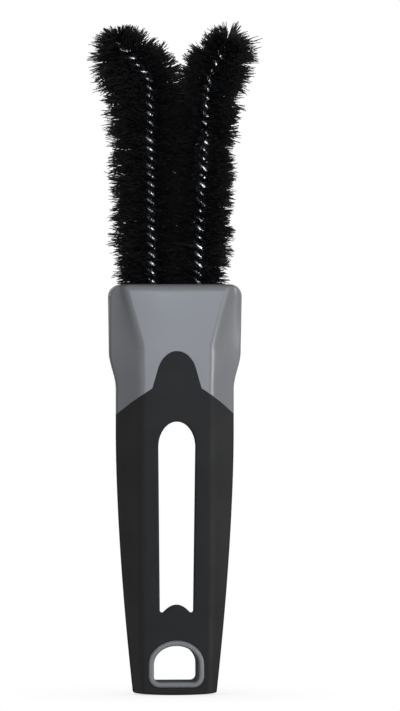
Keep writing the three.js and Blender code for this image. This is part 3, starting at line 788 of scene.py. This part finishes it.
def bristles(rng, filaments, stem, route, start, end, count):
    """Tufts spread evenly along a stretch of the stem, by turns on either side of the twist."""
    curve = round_curve("bristles", filaments.thickness, FILAMENT_ROUNDNESS)
    fans = math.ceil(2.0 * route.length / filaments.turn) + 1
    fan_lengths = [rng.uniform(*FAN_LENGTHS) for _ in range(2 * fans)]
    places = evenly(start, end, count)
    for number, (low, high) in enumerate(zip(places, places[1:])):
        half = number % 2
        fan = int(2.0 * low / filaments.turn)
        fan_length = fan_lengths[2 * fan + half]
        for strand in tuft(rng, filaments, stem, route, low, high, math.pi * half, fan_length):
            add_line(curve, strand, STRAND_TAPER)
    return curve


# Materials


def node_group(name, inputs, outputs):
    """An empty shader group with named sockets, and its two end nodes."""
    group = bpy.data.node_groups.new(name, "ShaderNodeTree")
    for socket, kind, default in inputs:
        group.interface.new_socket(socket, in_out="INPUT", socket_type=kind).default_value = default
    for socket, kind in outputs:
        group.interface.new_socket(socket, in_out="OUTPUT", socket_type=kind)
    return group, group.nodes.new("NodeGroupInput"), group.nodes.new("NodeGroupOutput")


def moulded_grain():
    """Fine moulded grain with slow changes of tone, shared by the plastics and the rubber."""
    group = bpy.data.node_groups.get("moulded grain")
    if group:
        return group
    inputs = [("Grain", "NodeSocketFloat", 2000.0), ("Cloud", "NodeSocketFloat", 60.0)]
    outputs = [("Height", "NodeSocketFloat"), ("Tone", "NodeSocketFloat")]
    group, start, end = node_group("moulded grain", inputs, outputs)
    place = group.nodes.new("ShaderNodeTexCoord")
    for source, detail, target in (("Grain", 3.0, "Height"), ("Cloud", 4.0, "Tone")):
        noise = group.nodes.new("ShaderNodeTexNoise")
        noise.inputs["Detail"].default_value = detail
        group.links.new(place.outputs["Object"], noise.inputs["Vector"])
        group.links.new(start.outputs[source], noise.inputs["Scale"])
        group.links.new(noise.outputs["Fac"], end.inputs[target])
    return group


def new_material(name):
    material = bpy.data.materials.new(name)
    material.use_nodes = True
    return material, material.node_tree, material.node_tree.nodes["Principled BSDF"]


def noise_mask(tree, scale, detail):
    """A mask of even noise on the piece's own coordinates."""
    place = tree.nodes.new("ShaderNodeTexCoord")
    noise = tree.nodes.new("ShaderNodeTexNoise")
    noise.inputs["Scale"].default_value = scale
    noise.inputs["Detail"].default_value = detail
    tree.links.new(place.outputs["Object"], noise.inputs["Vector"])
    return noise.outputs["Fac"]


def tone_between(tree, mask, low, high):
    """A colour that moves between two tones with a mask."""
    mix = tree.nodes.new("ShaderNodeMix")
    mix.data_type = "RGBA"
    tree.links.new(mask, mix.inputs["Factor"])
    mix.inputs["A"].default_value = (*low, 1.0)
    mix.inputs["B"].default_value = (*high, 1.0)
    return mix.outputs["Result"]


def value_between(tree, mask, limits, mask_range=NOISE_RANGE):
    """A value that moves between two limits while a mask goes through its range."""
    remap = tree.nodes.new("ShaderNodeMapRange")
    tree.links.new(mask, remap.inputs["Value"])
    for ends, (low, high) in (("From", mask_range), ("To", limits)):
        remap.inputs[f"{ends} Min"].default_value = low
        remap.inputs[f"{ends} Max"].default_value = high
    return remap.outputs["Result"]


def scaled(tint, by):
    return tuple(min(1.0, channel * by) for channel in tint)


def moulded(name, tint, grain, cloud, spread, roughness, gloss, fade, bump):
    """A moulded finish: fine grain, tone that drifts slowly, and gloss that fades on faces seen edge-on."""
    material, tree, shader = new_material(name)
    texture = tree.nodes.new("ShaderNodeGroup")
    texture.node_tree = moulded_grain()
    texture.inputs["Grain"].default_value = grain
    texture.inputs["Cloud"].default_value = cloud
    tone = texture.outputs["Tone"]
    tint_out = tone_between(tree, tone, scaled(tint, 1.0 - spread), scaled(tint, 1.0 + spread))
    tree.links.new(tint_out, shader.inputs["Base Color"])
    tree.links.new(value_between(tree, tone, roughness), shader.inputs["Roughness"])
    view = tree.nodes.new("ShaderNodeLayerWeight")
    fading = value_between(tree, view.outputs["Facing"], (gloss, EDGE_GLOSS), fade)
    specular = shader.inputs["Specular IOR Level"]
    specular.default_value = gloss
    tree.links.new(fading, specular)
    relief = tree.nodes.new("ShaderNodeBump")
    relief.inputs["Strength"].default_value = bump
    relief.inputs["Distance"].default_value = GRAIN_DEPTH
    tree.links.new(texture.outputs["Height"], relief.inputs["Height"])
    tree.links.new(relief.outputs["Normal"], shader.inputs["Normal"])
    return material


def grey_plastic(finishes):
    return moulded(
        "satin grey plastic", finishes.grey, grain=2600.0, cloud=55.0, spread=0.06,
        roughness=(0.30, 0.38), gloss=0.4, fade=PLASTIC_FADE, bump=0.10,
    )


def matte_grey(finishes):
    """The unpolished inside of the hang hole."""
    return moulded(
        "matte grey plastic", finishes.grey, grain=2600.0, cloud=55.0, spread=0.06,
        roughness=(0.8, 0.9), gloss=0.2, fade=PLASTIC_FADE, bump=0.2,
    )


def soft_rubber(finishes):
    return moulded(
        "soft black rubber", finishes.rubber, grain=3200.0, cloud=70.0, spread=0.12,
        roughness=(0.54, 0.66), gloss=0.2, fade=RUBBER_FADE, bump=0.28,
    )


def holder_plastic(finishes):
    return moulded(
        "holder plastic", finishes.holder, grain=2200.0, cloud=80.0, spread=0.10,
        roughness=(0.45, 0.58), gloss=0.4, fade=PLASTIC_FADE, bump=0.12,
    )


def drawn_steel(finishes):
    """Bright drawn wire with fine scuffs."""
    material, tree, shader = new_material("drawn steel wire")
    scuff = noise_mask(tree, scale=900.0, detail=4.0)
    tint = tone_between(tree, scuff, scaled(finishes.steel, 0.8), scaled(finishes.steel, 1.15))
    tree.links.new(tint, shader.inputs["Base Color"])
    tree.links.new(value_between(tree, scuff, (0.28, 0.42)), shader.inputs["Roughness"])
    shader.inputs["Metallic"].default_value = 1.0
    return material


def black_nylon(finishes):
    """Nylon filament: near black, with a slightly different tone from tuft to tuft."""
    material, tree, shader = new_material("black nylon")
    drift = noise_mask(tree, scale=700.0, detail=2.0)
    tint = tone_between(tree, drift, scaled(finishes.nylon, 0.5), scaled(finishes.nylon, 1.6))
    tree.links.new(tint, shader.inputs["Base Color"])
    tree.links.new(value_between(tree, drift, (0.42, 0.6)), shader.inputs["Roughness"])
    shader.inputs["Specular IOR Level"].default_value = 0.3
    return material


# Pieces


class RIMBRUSH_OT_grey_core(bpy.types.Operator):
    """Make the grey head with its pocket, and the ring round the hang hole"""

    bl_idname = "rim_brush.grey_core"
    bl_label = "Grey Core"

    def execute(self, context):
        settings = context.scene.rim_brush
        openings = settings.openings
        core = add_skin("grey_core", handle_form(settings.handle), grey_plastic(settings.finishes))
        seam = seam_levels(0.0, settings.handle.seam)
        combine(core, through(settings, grip_outline, seam), "DIFFERENCE")
        combine(core, pocket(settings.handle), "DIFFERENCE")
        ring = bead_levels(openings.ring_proud, openings.ring_round, openings.ring_wall)
        combine(core, through(settings, hole_outline, ring), "UNION")
        hole = opening_levels(openings.ring_proud, openings.ring_round, 0.0)
        combine(core, through(settings, hole_outline, hole), "DIFFERENCE")
        core.data.materials.append(matte_grey(settings.finishes))
        for face in core.data.polygons:
            if face.center.z < SLOT_FOOT and abs(face.normal.y) < WALL_SLOPE:
                face.material_index = 1
        smooth_faces(core)
        stand_for(core, "grey_plastic", "handle_core")
        return {"FINISHED"}


class RIMBRUSH_OT_rubber_grip(bpy.types.Operator):
    """Make the black rubber grip with its tongue, its slot and the seat of the ring"""

    bl_idname = "rim_brush.rubber_grip"
    bl_label = "Rubber Grip"

    def execute(self, context):
        settings = context.scene.rim_brush
        openings = settings.openings
        grip = add_skin("rubber_grip", handle_form(settings.handle), soft_rubber(settings.finishes))
        combine(grip, through(settings, grip_outline, straight_levels(0.0)), "INTERSECT")
        combine(grip, through(settings, butt_outline, straight_levels(OVERSHOOT)), "DIFFERENCE")
        slot = opening_levels(0.0, openings.slot_rim, openings.slot_draft)
        combine(grip, through(settings, slot_outline, slot), "DIFFERENCE")
        seat = seam_levels(openings.ring_wall, settings.handle.seam)
        combine(grip, through(settings, hole_outline, seat), "DIFFERENCE")
        smooth_faces(grip)
        stand_for(grip, "black_rubber", "grip_overmould")
        return {"FINISHED"}


class RIMBRUSH_OT_stem_holder(bpy.types.Operator):
    """Give the insert that holds the stems its finish"""

    bl_idname = "rim_brush.stem_holder"
    bl_label = "Stem Holder"

    def execute(self, context):
        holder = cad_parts["stem_holder"]
        holder.data.materials.clear()
        holder.data.materials.append(holder_plastic(context.scene.rim_brush.finishes))
        return {"FINISHED"}


class RIMBRUSH_OT_twisted_wires(bpy.types.Operator):
    """Twist the two hairpins of steel wire"""

    bl_idname = "rim_brush.twisted_wires"
    bl_label = "Twisted Wires"

    def execute(self, context):
        settings = context.scene.rim_brush
        steel = drawn_steel(settings.finishes)
        for label in ("left", "right"):
            route = StemRoute(getattr(settings, label))
            curve = round_curve(f"{label}_wire", settings.filaments.wire, WIRE_ROUNDNESS)
            points = hairpin(settings.filaments, route)
            add_line(curve, points, [1.0] * len(points))
            stand_for(as_mesh(f"{label}_wire", curve, steel), "steel_wire", f"{label}_twisted_wire")
        return {"FINISHED"}


class RIMBRUSH_OT_bristles(bpy.types.Operator):
    """Fill both stems with bristles"""

    bl_idname = "rim_brush.bristles"
    bl_label = "Bristles"

    def execute(self, context):
        settings = context.scene.rim_brush
        filaments = settings.filaments
        nylon = black_nylon(settings.finishes)
        for label in ("left", "right"):
            stem = getattr(settings, label)
            route = StemRoute(stem)
            stretches = [
                ("shaft", BRISTLE_START, route.bend_start, filaments.shaft_count, SHAFT_SEED),
                ("tip", route.bend_start, route.length, filaments.tip_count, TIP_SEED),
            ]
            for stretch, start, end, count, seed in stretches:
                rng = random.Random(f"{label} {stretch} {seed}")
                curve = bristles(rng, filaments, stem, route, start, end, count)
                piece = as_mesh(f"{label}_{stretch}_fans", curve, nylon)
                stand_for(piece, "black_bristle", f"{label}_{stretch}_bristles")
        return {"FINISHED"}


# Stage


def soft_light(name, place, aim_height, size, power, spread, tint):
    """A square softbox, with a grid that narrows its beam to the spread."""
    data = bpy.data.lights.new(name, "AREA")
    data.size = size
    data.energy = power
    data.spread = spread
    data.color = tint
    light = add_object(name, data)
    light.location = place
    aim = Vector((0.0, 0.0, aim_height)) - light.location
    light.rotation_euler = aim.to_track_quat("-Z", "Y").to_euler()


def show_white(tree, output, shader):
    """Show white to the camera, in reflections and through glass, and the given shader to every other ray."""
    white = tree.nodes.new("ShaderNodeEmission")
    path = tree.nodes.new("ShaderNodeLightPath")
    mask = path.outputs["Is Camera Ray"]
    for ray in ("Is Glossy Ray", "Is Transmission Ray"):
        either = tree.nodes.new("ShaderNodeMath")
        either.operation = "MAXIMUM"
        tree.links.new(mask, either.inputs[0])
        tree.links.new(path.outputs[ray], either.inputs[1])
        mask = either.outputs["Value"]
    mix = tree.nodes.new("ShaderNodeMixShader")
    tree.links.new(mask, mix.inputs["Fac"])
    tree.links.new(shader.outputs[0], mix.inputs[1])
    tree.links.new(white.outputs["Emission"], mix.inputs[2])
    tree.links.new(mix.outputs["Shader"], output.inputs["Surface"])
    return white


class RIMBRUSH_OT_studio(bpy.types.Operator):
    """Set up the pale floor, the soft lights and the camera"""

    bl_idname = "rim_brush.studio"
    bl_label = "Studio"

    def execute(self, context):
        scene = context.scene
        scene.view_settings.view_transform = "Standard"
        self.make_floor()
        scene.world = self.make_world()
        for light in LIGHTS:
            soft_light(*light)
        scene.camera = self.make_camera()
        return {"FINISHED"}

    def make_floor(self):
        sheet = bmesh.new()
        bmesh.ops.create_grid(sheet, x_segments=1, y_segments=1, size=FLOOR_SIZE)
        floor = add_skin("floor", sheet)
        material, tree, shader = new_material("pale floor")
        shader.inputs["Base Color"].default_value = (*FLOOR_TINT, 1.0)
        shader.inputs["Roughness"].default_value = 0.9
        white = show_white(tree, tree.nodes["Material Output"], shader)
        contact = tree.nodes.new("ShaderNodeAmbientOcclusion")
        contact.inputs["Distance"].default_value = CONTACT_REACH
        shade = tone_between(tree, contact.outputs["AO"], CONTACT_SHADE, WHITE)
        tree.links.new(shade, white.inputs["Color"])
        floor.data.materials.append(material)

    def make_world(self):
        world = bpy.data.worlds.new("studio")
        world.use_nodes = True
        tree = world.node_tree
        room = tree.nodes["Background"]
        room.inputs["Color"].default_value = (*WHITE, 1.0)
        room.inputs["Strength"].default_value = ROOM_LIGHT
        show_white(tree, tree.nodes["World Output"], room)
        return world

    def make_camera(self):
        back = Vector((math.sin(CAMERA_AZIMUTH), -math.cos(CAMERA_AZIMUTH), 0.0))
        right = Vector((math.cos(CAMERA_AZIMUTH), math.sin(CAMERA_AZIMUTH), 0.0))
        camera = add_object("camera", bpy.data.cameras.new("camera"))
        camera.data.sensor_width = SENSOR
        camera.data.lens = SENSOR * CAMERA_DISTANCE / FRAME_HEIGHT
        camera.data.clip_end = VIEW_DEPTH
        camera.location = back * CAMERA_DISTANCE + right * AIM_SHIFT + Vector((0.0, 0.0, AIM_HEIGHT))
        camera.rotation_euler = (-back).to_track_quat("-Z", "Y").to_euler()
        return camera


# Add-on


class RIMBRUSH_PT_sidebar(bpy.types.Panel):
    """Lists the brush's pieces and their sizes"""

    bl_idname = "RIMBRUSH_PT_sidebar"
    bl_label = "Wheel Rim Brush"
    bl_space_type = "VIEW_3D"
    bl_region_type = "UI"
    bl_category = "Rim Brush"

    def draw(self, context):
        settings = context.scene.rim_brush
        for operator in OPERATORS:
            self.layout.operator(operator.bl_idname)
        for label in ("handle", "openings", "left", "right", "filaments", "finishes"):
            box = self.layout.box()
            box.label(text=label.title())
            group = getattr(settings, label)
            for field in group.__annotations__:
                box.prop(group, field)


OPERATORS = (
    RIMBRUSH_OT_grey_core,
    RIMBRUSH_OT_rubber_grip,
    RIMBRUSH_OT_stem_holder,
    RIMBRUSH_OT_twisted_wires,
    RIMBRUSH_OT_bristles,
    RIMBRUSH_OT_studio,
)
CLASSES = (
    HandleSizes,
    OpeningSizes,
    StemSizes,
    FilamentSizes,
    Finishes,
    RimBrushSettings,
    *OPERATORS,
    RIMBRUSH_PT_sidebar,
)


def register():
    for item in CLASSES:
        bpy.utils.register_class(item)
    bpy.types.Scene.rim_brush = bpy.props.PointerProperty(type=RimBrushSettings)


def unregister():
    del bpy.types.Scene.rim_brush
    for item in reversed(CLASSES):
        bpy.utils.unregister_class(item)


def set_stem(stem, **values):
    for field, value in values.items():
        setattr(stem, field, value)


def main():
    register()
    settings = bpy.context.scene.rim_brush
    set_stem(
        settings.left,
        side=-1,
        lean=math.radians(0.8),
        tip_angle=math.radians(39),
        shaft=75.0 * MM,
        bend=9.5 * MM,
        tip=15.9 * MM,
        outer_reach=19.4 * MM,
        inner_reach=15.2 * MM,
        tip_outer_reach=15.0 * MM,
        tip_inner_reach=10.2 * MM,
        swell=0.14,
        foot_trim=0.33,
    )
    set_stem(
        settings.right,
        side=1,
        lean=math.radians(2.9),
        tip_angle=math.radians(27),
        shaft=70.5 * MM,
        bend=22.0 * MM,
        tip=12.6 * MM,
        outer_reach=14.9 * MM,
        inner_reach=15.2 * MM,
        tip_outer_reach=16.6 * MM,
        tip_inner_reach=10.2 * MM,
        swell=0.03,
        foot_trim=0.1,
    )
    bpy.ops.rim_brush.grey_core()
    bpy.ops.rim_brush.rubber_grip()
    bpy.ops.rim_brush.stem_holder()
    bpy.ops.rim_brush.twisted_wires()
    bpy.ops.rim_brush.bristles()
    bpy.ops.rim_brush.studio()


if __name__ == "__main__":
    main()
